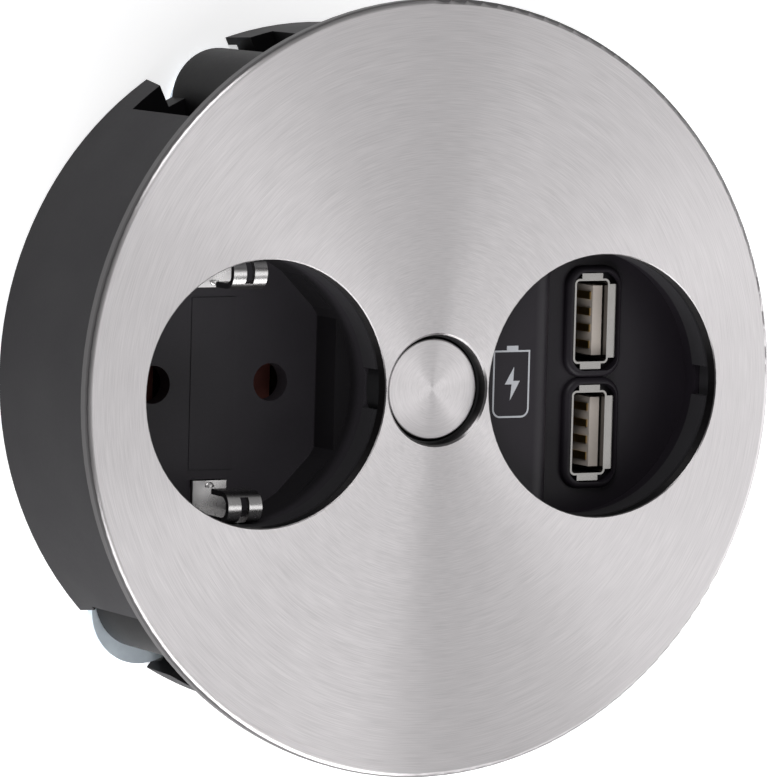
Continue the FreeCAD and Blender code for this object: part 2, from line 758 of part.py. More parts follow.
def make_stop():
    """The stirrup under the deck whose channel holds the button's lugs between the lid's end stops."""
    ring = drum("stop_round", "stop_radius", "stop_bottom", "stop_top")
    bar = block("stop_bar", "-stop_leg_half_width", "stop_leg_half_width", "-leg_outer", "leg_outer",
                "stop_bottom", "stop_top")
    legs = [block("stop_leg_" + side, "-stop_leg_half_width", "stop_leg_half_width",
                  *facing(sign, "leg_inner", "leg_outer"), "stop_bottom", "bridge_bottom")
            for side, sign in facings.items()]
    channels = []
    for side, start in (("right", "-stop_margin"), ("left", "180 - stop_margin")):
        channels.append(ring_slice("stop_channel_" + side, "stop_channel", "stem_radius",
                                   "stop_bottom - overcut", "channel_top", start,
                                   "lid_turn + 2 * stop_margin"))
    bore = drum("stop_bore", "stem_radius + running_gap", "stop_bottom - overcut", "0")
    part(cut("stop_ring", fuse("stop_solid", ring, bar, *legs), bore, *channels))


def make_deck():
    """The black plate that stays still under the lid, with its two wells, guide notches and hub bearing."""
    owner = body("deck_plate")
    face = sketch(owner, "deck_face", offset="deck_bottom")
    circle(face, "pot_inner - 2 * seat_gap")
    pad(owner, face, "deck_thickness")
    doc.recompute()
    wells_face = sketch(owner, "deck_wells", offset="deck_top")
    for x in wells.values():
        circle(wells_face, "deck_opening_radius", x)
    pocket(owner, wells_face, "deck_thickness + overcut")
    doc.recompute()
    bridge = block("deck_bridge", "-bridge_half_width", "bridge_half_width", "-bridge_half_length",
                   "bridge_half_length", "bridge_bottom", "deck_bottom")
    reach = "(deck_opening_radius + notch_depth)"
    tools = [block("notch_" + side, "%s - %s" % (x, reach), "%s + %s" % (x, reach), "-%s_notch_half" % side,
                   side + "_notch_half", "deck_bottom", "far_above") for side, x in wells.items()]
    tools.append(drum("hub_well", "cup_bore + cup_wall + running_gap", "deck_bottom", "far_above"))
    tools.append(drum("hub_bearing", "hub_radius + shaft_play", "bridge_bottom - overcut", "0"))
    for side, angle in towers.items():
        tools.append(drum("driver_hole_" + side, "driver_hole_radius", "far_below", "far_above",
                          *away("tower_ring", angle)))
    for index, spot in enumerate(post_spots()):
        tools.append(drum("deck_hole_%d" % index, "screw_radius + seat_gap", "far_below", "far_above",
                          *spot))
        tools.append(drum("deck_sink_%d" % index, "screw_head_radius + seat_gap",
                          "deck_top - screw_head_thickness", "far_above", *spot))
    part(cut("deck", fuse("deck_solid", owner, bridge), *tools))
    make_screws("deck_screws", "deck_top", "-")


def shoulder_outline(item):
    """The socket's lower cavity: flat at both sides, with slanted corners."""
    far = "(insert_bore + overcut)"
    inner = "(shoulder_reach - %s + shoulder_half)" % far
    corners = [("shoulder_reach", "-shoulder_half"), ("shoulder_reach", "shoulder_half"),
               (inner, far), ("-" + inner, far),
               ("-shoulder_reach", "shoulder_half"), ("-shoulder_reach", "-shoulder_half"),
               ("-" + inner, "-" + far), (inner, "-" + far)]
    outline(item, *[("socket_x + " + x, y) for x, y in corners])


def make_socket_insert():
    """The round earthed well: bore, side shoulders, two pin holes and the slots for the earth bracket."""
    cup = drum("socket_cup", "insert_radius", "socket_under", "deck_bottom", "socket_x")
    upper = drum("socket_bore", "insert_bore", "shoulder_top", "0", "socket_x")
    lower = common("socket_cavity", drum("socket_lower_bore", "insert_bore", "socket_floor", "shoulder_top",
                                         "socket_x"),
                   prism("socket_shoulders", "socket_floor", "shoulder_top", shoulder_outline))
    band = block("socket_band", "socket_x - band_half_width", "socket_x + band_half_width",
                 "-(earth_inner - band_inset)", "earth_inner - band_inset", "socket_floor",
                 "socket_floor + band_height")
    holes = [drum("pin_hole_" + side, "pin_hole_radius", "far_below", "0", x) for side, x in pins.items()]
    hollow = cut("socket_hollow", cup, upper, lower)
    part(cut("socket_insert", fuse("socket_with_band", hollow, band), *holes, *earth_slots("socket_slot")))


def earth_slots(name):
    """The two slots that the earth bracket's legs pass through."""
    return [block("%s_%s" % (name, side), "earth_left - seat_gap", "earth_right + seat_gap",
                  *facing(sign, "earth_inner - seat_gap", "earth_leg + seat_gap"),
                  "far_below", "socket_floor")
            for side, sign in facings.items()]


def make_socket_base():
    """The block behind the socket, with the shutter's pocket and the seats of the two contact sleeves."""
    disc = drum("base_disc", "insert_radius", "base_bottom", "socket_under", "socket_x")
    half = "(shutter_half_width + running_gap)"
    hollow = block("base_pocket", "socket_x - shutter_reach - shutter_travel - running_gap",
                   "socket_x + shutter_reach + running_gap", "-" + half, half, "pocket_floor", "0")
    seats = [drum("sleeve_seat_" + side, "sleeve_radius + seat_gap", "far_below", "0", x)
             for side, x in pins.items()]
    part(cut("socket_base", disc, hollow, *seats, *earth_slots("base_slot")))


def make_shutter():
    """The sliding shutter: a ramp under each pin hole, joined by a bar and two side rails."""
    left_start = "(socket_x - shutter_reach)"
    right_start = "(socket_x + shutter_reach - shutter_ramp)"
    pieces = []
    for side, start in (("left", left_start), ("right", right_start)):
        owner = body("ramp_" + side)
        profile = sketch(owner, "ramp_profile_" + side, "XZ_Plane", "-shutter_half_width")
        end = "%s + shutter_ramp" % start
        outline(profile, (start, "shutter_bottom"), (end, "shutter_bottom"),
                (end, "shutter_bottom + shutter_ramp_edge"), (start, "shutter_top"))
        pad(owner, profile, "2 * shutter_half_width")
        pieces.append(owner)
    for side, sign in facings.items():
        pieces.append(block("shutter_rail_" + side, left_start, right_start,
                            *facing(sign, "shutter_half_width - shutter_rail", "shutter_half_width"),
                            "shutter_bottom", "shutter_bottom + shutter_rail"))
    pieces.append(block("shutter_bar", "%s + shutter_ramp + shutter_travel + shutter_bar_gap" % left_start,
                        right_start, "-shutter_half_width", "shutter_half_width", "shutter_bottom",
                        "shutter_top"))
    part(fuse("shutter", *pieces))


def make_contacts():
    """The two sleeves that grip the pins, each with its clamp block and screw."""
    screws = []
    for (side, x), sign in zip(pins.items(), facings.values()):
        tube = drum("sleeve_" + side, "sleeve_radius", "sleeve_bottom", "pocket_floor", x)
        clamp = block("clamp_" + side, x + " - clamp_width / 2", x + " + clamp_width / 2",
                      *facing(sign, "clamp_near", "clamp_far"), "sleeve_bottom", "clamp_top")
        middle = "%s(clamp_near + clamp_length / 2 + clamp_screw_shift)" % sign
        screw_hole = drum("clamp_screw_hole_" + side, "screw_radius + seat_gap", "far_below",
                          "clamp_top - clamp_roof", x, middle)
        bore = drum("sleeve_bore_" + side, "sleeve_bore", "far_below", "0", x)
        part(cut(side + "_contact", fuse("contact_solid_" + side, tube, clamp), bore, screw_hole))
        screws.append(drum("clamp_screw_" + side, "screw_radius", "sleeve_bottom - clamp_screw_reach",
                           "clamp_top - clamp_screw_reach", x, middle))
    part(fuse("terminal_screws", *screws))


def crosswise(name, radius, y):
    """The upper half of a cylinder as wide as the earth strip, lying along X at the hooks' height."""
    item = doc.addObject("Part::Cylinder", name)
    item.Placement = FreeCAD.Placement(FreeCAD.Vector(), FreeCAD.Rotation(FreeCAD.Vector(1, 1, 1), 120))
    item.Angle = 180
    bind(item, Radius=radius, Height="earth_width", Placement__Base__x="earth_left")
    return bind(item, Placement__Base__y=y, Placement__Base__z="hook_height")


def make_earth():
    """One bent strip: a link behind the socket, a plate on its floor and a forked hook at each wall."""
    pieces = [block("earth_link", "earth_left", "earth_right", "-earth_leg", "earth_leg",
                    "base_bottom - strip_metal", "base_bottom")]
    runs = [("earth_rise", "earth_inner", "earth_leg", "base_bottom", "socket_floor"),
            ("earth_plate", "earth_inner", "earth_outer", "socket_floor", "socket_floor + strip_metal"),
            ("earth_wall", "earth_outer - strip_metal", "earth_outer", "socket_floor", "hook_height"),
            ("earth_tail", "tail_inner", "tail_outer", "hook_height - hook_tail", "hook_height")]
    for side, sign in facings.items():
        for name, inner, outer, bottom, top in runs:
            pieces.append(block("%s_%s" % (name, side), "earth_left", "earth_right",
                                *facing(sign, inner, outer), bottom, top))
        middle = sign + "hook_middle"
        fork = block("fork_" + side, "earth_middle - fork_width / 2", "earth_middle + fork_width / 2",
                     *facing(sign, "tail_outer", "earth_outer + overcut"), "hook_height", "0")
        pieces.append(cut("earth_hook_" + side, crosswise("hook_outside_" + side, "hook_radius", middle),
                          crosswise("hook_inside_" + side, "hook_radius - strip_metal", middle), fork))
    part(fuse("earth_bracket", *pieces))


def make_plateau():
    """The raised part of the USB well, rolled over along its straight edge."""
    owner = body("usb_plateau")
    profile = sketch(owner, "plateau_profile", "XZ_Plane", "-plateau_radius")
    left = "usb_x - plateau_radius - overcut"
    edge = "usb_x - plateau_edge"
    outline(profile, (left, "usb_floor"), (edge, "usb_floor"), (edge, "deck_top"), (left, "deck_top"))
    solid = pad(owner, profile, "2 * plateau_radius")
    soften(owner, solid, "plateau_roll", "min(plateau_round; (deck_top - usb_floor) * %s)" % most_round,
           on_top_right)
    return common("usb_plateau_round", owner,
                  drum("plateau_limit", "plateau_radius", "usb_floor", "far_above", "usb_x"))


def make_rim(side, y):
    """One outlet's raised rim, soft along its top edge."""
    owner = body("rim_" + side)
    profile = sketch(owner, "rim_outline_" + side, offset="usb_floor")
    rounded(profile, "usb_x - rim_left + rim_width / 2", y, "rim_width", "usb_pitch", "rim_round")
    solid = pad(owner, profile, "rim_height")
    soften(owner, solid, "rim_soft_" + side, "min(rim_edge_round; rim_height * %s)" % most_round, on_top)
    return owner


def make_usb_insert():
    """The USB well: sunk floor, raised plateau with a rolled edge, and a rounded rim at each outlet."""
    cup = cut("usb_cup", drum("usb_cup_outside", "insert_radius", "usb_under", "deck_bottom", "usb_x"),
              drum("usb_cup_inside", "usb_bore", "usb_floor", "0", "usb_x"))
    rims = []
    tools = []
    for side, y in outlets.items():
        rims.append(make_rim(side, y))
        tools.append(prism("usb_recess_" + side, "rim_top - recess_depth", "far_above", rounded,
                           "usb_x - recess_left + recess_width / 2", y, "recess_width", "recess_height",
                           "recess_round"))
        tools.append(prism("usb_slot_" + side, "usb_under - overcut", "0", rounded, "shell_middle", y,
                           "shell_width + 2 * seat_gap", "shell_height + 2 * seat_gap", "shell_round"))
    part(cut("usb_insert", fuse("usb_solid", cup, make_plateau(), *rims), *tools))


def make_usb_outlets():
    """Each outlet's folded steel shell with its mouth lips, the tongue and its four contacts."""
    for side, y in outlets.items():
        shell = prism("shell_outside_" + side, "shell_bottom", "shell_top", rounded, "shell_middle", y,
                      "shell_width", "shell_height", "shell_round")
        inside = prism("shell_hollow_" + side, "shell_inside", "far_above", rounded, "shell_middle", y,
                       "shell_width - 2 * shell_metal", "shell_height - 2 * shell_metal",
                       "shell_round - shell_metal")
        lips = [block("end_lips_" + side, "shell_middle - end_lip_width / 2",
                      "shell_middle + end_lip_width / 2", y + " - lip_reach", y + " + lip_reach",
                      "lip_bottom", "shell_top"),
                block("side_lip_" + side, "shell_middle", "usb_x + shell_width + side_lip_reach",
                      y + " - side_lip_height / 2", y + " + side_lip_height / 2",
                      "lip_bottom", "shell_top")]
        part(cut("usb_shell_" + side, fuse("shell_solid_" + side, shell, *lips), inside))
        part(block("usb_tongue_" + side, "tongue_face", "tongue_face + tongue_thickness",
                   y + " - tongue_height / 2", y + " + tongue_height / 2", "shell_inside", "tongue_top"))
        strips = []
        for index in range(4):
            middle = "%s + %s * contact_pitch" % (y, index - 1.5)
            strips.append(block("contact_%s_%d" % (side, index), "tongue_face - contact_metal",
                                "tongue_face", middle + " - contact_width / 2",
                                middle + " + contact_width / 2", "contact_top - contact_length",
                                "contact_top"))
        part(fuse("usb_contacts_" + side, *strips))


def make_charger():
    """The charger board soldered to the USB shells, with its transformer and capacitor below it."""
    part(block("charger_board", "usb_x - board_left", "usb_x + board_right", "-board_half_length",
               "board_half_length", "board_bottom", "shell_bottom"))
    part(block("transformer", "coil_left", "coil_left + coil_width", "-coil_length - coil_gap", "-coil_gap",
               "cover_top + coil_clearance", "board_bottom"))
    part(drum("capacitor", "can_radius", "cover_top + can_clearance", "board_bottom",
              "usb_x - board_left / 2 + can_shift", "can_radius + can_gap"))


make_housing()
make_gland()
make_cover()
make_claws()
make_lid()
make_carrier()
make_button()
make_stop()
make_deck()
make_socket_insert()
make_socket_base()
make_shutter()
make_contacts()
make_earth()
make_usb_insert()
make_usb_outlets()
make_charger()
doc.recompute()

broken = [item.Name for item in doc.Objects if "Invalid" in item.State or "Error" in item.State]
broken += [item.Label for item in parts if item.Shape.isNull() or not item.Shape.isValid()]
if broken:
    raise SystemExit("not built: " + ", ".join(broken))
for item in parts:
    item.Shape.exportStep("parts/%s.step" % item.Label)
    print(item.Label, len(item.Shape.Solids), round(item.Shape.Volume, 2))
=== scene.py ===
import bpy
import json
import math
from mathutils import Matrix, Vector


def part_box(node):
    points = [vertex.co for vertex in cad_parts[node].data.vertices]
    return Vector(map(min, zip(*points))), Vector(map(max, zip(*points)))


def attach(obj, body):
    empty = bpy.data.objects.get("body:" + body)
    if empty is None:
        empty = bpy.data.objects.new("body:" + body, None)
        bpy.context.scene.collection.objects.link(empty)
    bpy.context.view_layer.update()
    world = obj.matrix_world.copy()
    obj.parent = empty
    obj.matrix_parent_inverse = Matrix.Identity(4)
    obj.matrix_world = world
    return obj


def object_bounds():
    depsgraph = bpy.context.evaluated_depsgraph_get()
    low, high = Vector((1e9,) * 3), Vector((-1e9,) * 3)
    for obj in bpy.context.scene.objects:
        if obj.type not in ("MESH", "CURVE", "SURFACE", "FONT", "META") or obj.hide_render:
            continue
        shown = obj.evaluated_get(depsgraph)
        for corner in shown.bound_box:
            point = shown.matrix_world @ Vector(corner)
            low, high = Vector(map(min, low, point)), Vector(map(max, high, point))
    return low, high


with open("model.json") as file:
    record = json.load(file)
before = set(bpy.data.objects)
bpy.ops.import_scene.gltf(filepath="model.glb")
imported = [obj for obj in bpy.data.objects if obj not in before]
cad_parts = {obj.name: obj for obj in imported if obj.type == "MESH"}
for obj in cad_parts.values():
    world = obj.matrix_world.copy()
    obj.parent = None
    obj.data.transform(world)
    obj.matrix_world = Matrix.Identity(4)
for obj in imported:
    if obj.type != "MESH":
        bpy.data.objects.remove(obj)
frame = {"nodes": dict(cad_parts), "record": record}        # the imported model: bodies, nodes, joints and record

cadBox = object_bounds()
mm = 0.001
nodes = frame["nodes"]
print("frame loaded:", len(nodes), "nodes")


# shader building

def addNode(tree, kind, **settings):
    node = tree.nodes.new(kind)
    for name, value in settings.items():
        if hasattr(node, name):
            setattr(node, name, value)
        else:
            node.inputs[name.replace("_", " ")].default_value = value
    return node


def join(tree, source, output, target, socket):
    tree.links.new(source.outputs[output], target.inputs[socket])


def startGroup(name, inputs, outputs):
    tree = bpy.data.node_groups.new(name, "ShaderNodeTree")
    for socketName, value in inputs.items():
        socket = tree.interface.new_socket(socketName, in_out="INPUT", socket_type="NodeSocketFloat")
        socket.default_value = value
    for socketName in outputs:
        tree.interface.new_socket(socketName, in_out="OUTPUT", socket_type="NodeSocketFloat")
    return tree, tree.nodes.new("NodeGroupInput"), tree.nodes.new("NodeGroupOutput")


noiseRoughness = 0.55
fineShare = 0.35                 # how much of the fine grain goes into the tone
spinLayers = {"Marks": (1.0, 2.0), "Bands": (0.06, 1.0)}    # share of the line scale, noise detail
flatOnly = (1, 1, 0)


def scaledNoise(tree, place, scaleSource, scaleSocket, detail):
    noise = addNode(tree, "ShaderNodeTexNoise", Detail=detail, Roughness=noiseRoughness)
    join(tree, place, "Object", noise, "Vector")
    join(tree, scaleSource, scaleSocket, noise, "Scale")
    return noise


# A place without its height, and its distance from the Z axis.
def flatPlace(tree, source, output):
    flat = addNode(tree, "ShaderNodeVectorMath", operation="MULTIPLY")
    flat.inputs[1].default_value = flatOnly
    join(tree, source, output, flat, 0)
    return flat


def distance(tree, flat):
    radius = addNode(tree, "ShaderNodeVectorMath", operation="LENGTH")
    join(tree, flat, "Vector", radius, 0)
    return radius


# Moulded grain: a fine even pebble with slow patches of tone laid over it.
def makeGrain():
    inputs = {"Grain Scale": 2500.0, "Patch Scale": 60.0}
    tree, start, end = startGroup("mouldedGrain", inputs, ["Height", "Tone"])
    place = tree.nodes.new("ShaderNodeTexCoord")
    fine = scaledNoise(tree, place, start, "Grain Scale", 2.0)
    patch = scaledNoise(tree, place, start, "Patch Scale", 3.0)
    blend = addNode(tree, "ShaderNodeMath", operation="MULTIPLY_ADD")
    blend.inputs[1].default_value = fineShare
    join(tree, fine, "Fac", blend, 0)
    join(tree, patch, "Fac", blend, 2)
    join(tree, fine, "Fac", end, "Height")
    join(tree, blend, "Value", end, "Tone")
    return tree


# Spin-brushed marks: long arcs about a centre, broken up along the turn.
def makeSpin():
    inputs = {"Centre X": 0.0, "Centre Y": 0.0, "Line Scale": 9000.0, "Break Scale": 2.2}
    tree, start, end = startGroup("spinMarks", inputs, ["Marks", "Bands"])
    place = tree.nodes.new("ShaderNodeTexCoord")
    centre = tree.nodes.new("ShaderNodeCombineXYZ")
    join(tree, start, "Centre X", centre, "X")
    join(tree, start, "Centre Y", centre, "Y")
    fromCentre = addNode(tree, "ShaderNodeVectorMath", operation="SUBTRACT")
    join(tree, place, "Object", fromCentre, 0)
    join(tree, centre, "Vector", fromCentre, 1)
    flat = flatPlace(tree, fromCentre, "Vector")
    radius = distance(tree, flat)
    heading = addNode(tree, "ShaderNodeVectorMath", operation="NORMALIZE")
    join(tree, flat, "Vector", heading, 0)
    spread = addNode(tree, "ShaderNodeVectorMath", operation="SCALE")
    join(tree, heading, "Vector", spread, 0)
    join(tree, start, "Break Scale", spread, "Scale")
    for layer, (share, detail) in spinLayers.items():
        stretch = addNode(tree, "ShaderNodeMath", operation="MULTIPLY")
        stretch.inputs[1].default_value = share
        join(tree, start, "Line Scale", stretch, 0)
        line = addNode(tree, "ShaderNodeMath", operation="MULTIPLY")
        join(tree, radius, "Value", line, 0)
        join(tree, stretch, "Value", line, 1)
        lift = tree.nodes.new("ShaderNodeCombineXYZ")
        join(tree, line, "Value", lift, "Z")
        spot = addNode(tree, "ShaderNodeVectorMath", operation="ADD")
        join(tree, spread, "Vector", spot, 0)
        join(tree, lift, "Vector", spot, 1)
        noise = addNode(tree, "ShaderNodeTexNoise", Scale=1.0, Detail=detail)
        join(tree, spot, "Vector", noise, "Vector")
        join(tree, noise, "Fac", end, layer)
    return tree


# Painted shade by slope: one level on faces that lie flat, another, mostly darker, on edges, bends and upright
# walls.
def makeSlopeShade():
    inputs = {"Edge Tone": 0.4, "Face Tone": 1.0, "Edge Slope": 0.55, "Face Slope": 0.97}
    tree, start, end = startGroup("slopeShade", inputs, ["Tone"])
    surface = tree.nodes.new("ShaderNodeNewGeometry")
    apart = tree.nodes.new("ShaderNodeSeparateXYZ")
    join(tree, surface, "Normal", apart, "Vector")
    slope = addNode(tree, "ShaderNodeMath", operation="ABSOLUTE")
    join(tree, apart, "Z", slope, 0)
    span = addNode(tree, "ShaderNodeMapRange", interpolation_type="SMOOTHSTEP")
    join(tree, slope, "Value", span, "Value")
    join(tree, start, "Edge Slope", span, "From Min")
    join(tree, start, "Face Slope", span, "From Max")
    join(tree, start, "Edge Tone", span, "To Min")
    join(tree, start, "Face Tone", span, "To Max")
    join(tree, span, "Result", end, "Tone")
    return tree


grain = makeGrain()
spin = makeSpin()
slopeShade = makeSlopeShade()


def startMaterial(name, colour, roughness, metallic=0.0, **extra):
    material = bpy.data.materials.new(name)
    material.use_nodes = True
    material.diffuse_color = (*colour, 1)
    tree = material.node_tree
    shader = tree.nodes["Principled BSDF"]
    shader.inputs["Base Color"].default_value = (*colour, 1)
    shader.inputs["Roughness"].default_value = roughness
    shader.inputs["Metallic"].default_value = metallic
    for socket, value in extra.items():
        shader.inputs[socket.replace("_", " ")].default_value = value
    return material, tree, shader


def useGroup(tree, group, **values):
    node = addNode(tree, "ShaderNodeGroup", node_tree=group)
    for name, value in values.items():
        node.inputs[name.replace("_", " ")].default_value = value
    return node


def rampColour(tree, source, output, dark, light, low, high):
    ramp = tree.nodes.new("ShaderNodeValToRGB")
    ramp.color_ramp.elements[0].position = low
    ramp.color_ramp.elements[0].color = (*dark, 1)
    ramp.color_ramp.elements[1].position = high
    ramp.color_ramp.elements[1].color = (*light, 1)
    join(tree, source, output, ramp, "Fac")
    return ramp


def rampValue(tree, source, output, low, high):
    span = addNode(tree, "ShaderNodeMapRange")
    span.inputs["To Min"].default_value = low
    span.inputs["To Max"].default_value = high
    join(tree, source, output, span, "Value")
    return span


def shadeColour(tree, ramp, source, output, shader):
    shaded = addNode(tree, "ShaderNodeVectorMath", operation="SCALE")
    join(tree, ramp, "Color", shaded, 0)
    join(tree, source, output, shaded, "Scale")
    join(tree, shaded, "Vector", shader, "Base Color")


# Paints shade by slope into a material's base colour.
def shadeBySlope(tree, ramp, shader, edgeShade, faceShade):
    tone = useGroup(tree, slopeShade, Edge_Tone=edgeShade, Face_Tone=faceShade)
    shadeColour(tree, ramp, tone, "Tone", shader)


def addBump(tree, source, output, shader, depth, strength):
    bump = addNode(tree, "ShaderNodeBump", Strength=strength, Distance=depth)
    join(tree, source, output, bump, "Height")
    join(tree, bump, "Normal", shader, "Normal")


def tinted(colour, share):
    return tuple(min(1.0, channel * share) for channel in colour)


# Painted light and shade by height, in millimetres: a share of the colour at each level, blended between them.
def lightAndShadeByHeight(tree, ramp, shader, levels):
    place = tree.nodes.new("ShaderNodeTexCoord")
    apart = tree.nodes.new("ShaderNodeSeparateXYZ")
    join(tree, place, "Object", apart, "Vector")
    low, high = levels[0][0], levels[-1][0]
    share = addNode(tree, "ShaderNodeMapRange")
    share.inputs["From Min"].default_value = low * mm
    share.inputs["From Max"].default_value = high * mm
    join(tree, apart, "Z", share, "Value")
    tones = tree.nodes.new("ShaderNodeValToRGB")
    steps = tones.color_ramp.elements
    for index, (height, tone) in enumerate(levels):
        if index > 1:
            steps.new(1.0)
        steps[index].position = (height - low) / (high - low)
        steps[index].color = (tone, tone, tone, 1)
    join(tree, share, "Result", tones, "Fac")
    shaded = addNode(tree, "ShaderNodeVectorMath", operation="MULTIPLY")
    join(tree, ramp, "Color", shaded, 0)
    join(tree, tones, "Color", shaded, 1)
    join(tree, shaded, "Vector", shader, "Base Color")


# Painted shade: a darker tone within a radius, on a moulding's recessed and inner faces, where they lie in shade.
def shadeByReach(tree, ramp, shader, shade):
    place = tree.nodes.new("ShaderNodeTexCoord")
    radius = distance(tree, flatPlace(tree, place, "Object"))
    span = addNode(tree, "ShaderNodeMapRange")
    span.inputs["From Min"].default_value = (shade["reach"] - shade["blend"]) * mm
    span.inputs["From Max"].default_value = shade["reach"] * mm
    span.inputs["To Min"].default_value = shade["tone"]
    join(tree, radius, "Value", span, "Value")
    shadeColour(tree, ramp, span, "Result", shader)


# Where the grain's tone starts and ends on the colour ramp, and how far gloss strays from its level.
grainRange = (0.35, 0.95)
plasticGloss = (-0.08, 0.1)
metalGloss = (-0.05, 0.07)
spunGloss = (-0.05, 0.05)
lowestRoughness = 0.03
metalPatchScale = 220.0


def grainColour(tree, marks, colour, spread):
    return rampColour(tree, marks, "Tone", tinted(colour, 1 - spread), tinted(colour, 1 + spread),
                      *grainRange)


# A moulded plastic: base colour with soft patches, grain in roughness and relief.
def plastic(name, colour, roughness, grainScale=2500.0, depth=0.00002, strength=0.25, spread=0.18,
            levels=(), shade=None, **extra):
    material, tree, shader = startMaterial(name, colour, roughness, **extra)
    marks = useGroup(tree, grain, Grain_Scale=grainScale)
    ramp = grainColour(tree, marks, colour, spread)
    if levels:
        lightAndShadeByHeight(tree, ramp, shader, levels)
    elif shade:
        shadeByReach(tree, ramp, shader, shade)
    else:
        join(tree, ramp, "Color", shader, "Base Color")
    gloss = rampValue(tree, marks, "Tone", roughness + plasticGloss[0], roughness + plasticGloss[1])
    join(tree, gloss, "Result", shader, "Roughness")
    addBump(tree, marks, "Height", shader, depth, strength)
    return material


# A drawn or plated metal: the same grain, shallow, so that its gloss breaks up, and painted shade by slope where
# its edge and face levels are below one.
def metal(name, colour, roughness, grainScale=900.0, depth=0.00001, strength=0.12, spread=0.06,
          edgeShade=1.0, faceShade=1.0, **extra):
    material, tree, shader = startMaterial(name, colour, roughness, 1.0, **extra)
    marks = useGroup(tree, grain, Grain_Scale=grainScale, Patch_Scale=metalPatchScale)
    ramp = grainColour(tree, marks, colour, spread)
    shadeBySlope(tree, ramp, shader, edgeShade, faceShade)
    gloss = rampValue(tree, marks, "Tone", max(lowestRoughness, roughness + metalGloss[0]),
                      roughness + metalGloss[1])
    join(tree, gloss, "Result", shader, "Roughness")
    addBump(tree, marks, "Height", shader, depth, strength)
    return material


# Spin-brushed steel: gloss drawn out across the marks, which run round the centre, with painted shade by slope on
# its rounded edges.
def spunSteel(name, look):
    material, tree, shader = startMaterial(name, look["colour"], look["roughness"], 1.0,
                                           Anisotropic=look["anisotropy"],
                                           Anisotropic_Rotation=look["glossTurn"])
    marks = useGroup(tree, spin, Line_Scale=look["lineScale"], Break_Scale=look["breakScale"])
    mixed = addNode(tree, "ShaderNodeMix", data_type="FLOAT", Factor=look["bandShare"])
    join(tree, marks, "Marks", mixed, 2)
    join(tree, marks, "Bands", mixed, 3)
    ramp = rampColour(tree, mixed, 0, tinted(look["colour"], 1 - look["contrast"]),
                      tinted(look["colour"], 1 + look["contrast"]), *look["markRange"])
    shadeBySlope(tree, ramp, shader, look["edgeShade"], 1.0)
    gloss = rampValue(tree, mixed, 0, look["roughness"] + spunGloss[0], look["roughness"] + spunGloss[1])
    join(tree, gloss, "Result", shader, "Roughness")
    turn = addNode(tree, "ShaderNodeTangent", direction_type="RADIAL", axis="Z")
    join(tree, turn, "Tangent", shader, "Tangent")
    addBump(tree, mixed, 0, shader, look["depth"], look["relief"])
    return material


# edgeShade: painted shade on the lid's and button's rounded rims, darkening the highlight in the bend.
lidLook = {"colour": (0.69, 0.665, 0.675), "roughness": 0.34, "anisotropy": 0.88, "glossTurn": 0.25,
           "lineScale": 9000.0, "breakScale": 9.0, "bandShare": 0.2, "contrast": 0.1,
           "markRange": (0.3, 0.7), "depth": 0.00001, "relief": 0.16, "edgeShade": 0.12}
buttonLook = dict(lidLook, lineScale=7000.0, breakScale=2.5, roughness=0.3)

black = {"pot": (0.0085, 0.0075, 0.0095), "deck": (0.03, 0.029, 0.032), "well": (0.042, 0.038, 0.045),
         "usb": (0.014, 0.0115, 0.0155), "carrier": (0.015, 0.015, 0.016)}
# Painted light and shade in the socket well: the floor and the top of the wall lit, the shoulders between them
# shaded.
wellLightAndShade = [(-12.9, 1.0), (-12.6, 0.25), (-6.0, 0.25), (-4.0, 0.7)]    # height, share of the colour
# Painted shade on the pot's niches, claw towers and inner faces, inside the reach.
potShade = {"reach": 50.95, "blend": 0.1, "tone": 0.3}    # millimetres, millimetres, share of the colour
finishes = {
    "lid_steel": spunSteel("spunLidSteel", lidLook),
    "button_steel": spunSteel("spunButtonSteel", buttonLook),
    "black_plastic": plastic("potMoulding", black["pot"], 0.5, 1800.0, shade=potShade,
                             Specular_IOR_Level=0.16),
    "deck_plastic": plastic("deckMoulding", black["deck"], 0.42),
    "carrier_plastic": plastic("carrierMoulding", black["carrier"], 0.4),
    "socket_plastic": plastic("wellMoulding", black["well"], 0.45, 3200.0, levels=wellLightAndShade,
                              Specular_IOR_Level=0.35),
    "usb_plastic": plastic("usbMoulding", black["usb"], 0.4, 3200.0, Specular_IOR_Level=0.25),
    "gland_plastic": plastic("glandMoulding", black["pot"], 0.45),
    "shutter_brown": plastic("shutterMoulding", (0.25, 0.085, 0.07), 0.45),
    "claw_zinc": metal("brightZinc", (0.78, 0.86, 0.95), 0.5, spread=0.1),
    "spindle_steel": metal("zincScrewSteel", (0.55, 0.56, 0.57), 0.3),
    "screw_steel": metal("zincScrewSteelSmall", (0.55, 0.56, 0.57), 0.3),
    "spring_steel": metal("springSteel", (0.45, 0.44, 0.43), 0.28),
    # Painted shade: the earth fingers' bead sides and the port shells' lips and faces are darkened by slope.
    "earth_nickel": metal("brightNickel", (0.92, 0.9, 0.9), 0.24, strength=0.06, edgeShade=0.4),
    "contact_brass": metal("plainBrass", (0.72, 0.52, 0.22), 0.28),
    "port_steel": metal("platedShell", (0.62, 0.6, 0.58), 0.16, strength=0.06, edgeShade=0.3,
                        faceShade=0.55),
    "tongue_white": plastic("tongueMoulding", (0.56, 0.5, 0.45), 0.45, spread=0.06),
    "contact_gold": metal("goldFlash", (0.6, 0.42, 0.17), 0.3),
    "board_green": plastic("solderMask", (0.02, 0.16, 0.06), 0.3, 1200.0),
    "coil_tape": plastic("windingTape", (0.7, 0.5, 0.05), 0.35, 700.0),
    "can_sleeve": plastic("canSleeve", (0.03, 0.04, 0.12), 0.3, 700.0),
}
for entry in frame["record"]["subparts"]:
    part = nodes[entry["node"]]
    part.data.materials.clear()
    part.data.materials.append(finishes[entry["material_slot"]])
print("finishes made:", len(finishes))


# modelled pieces

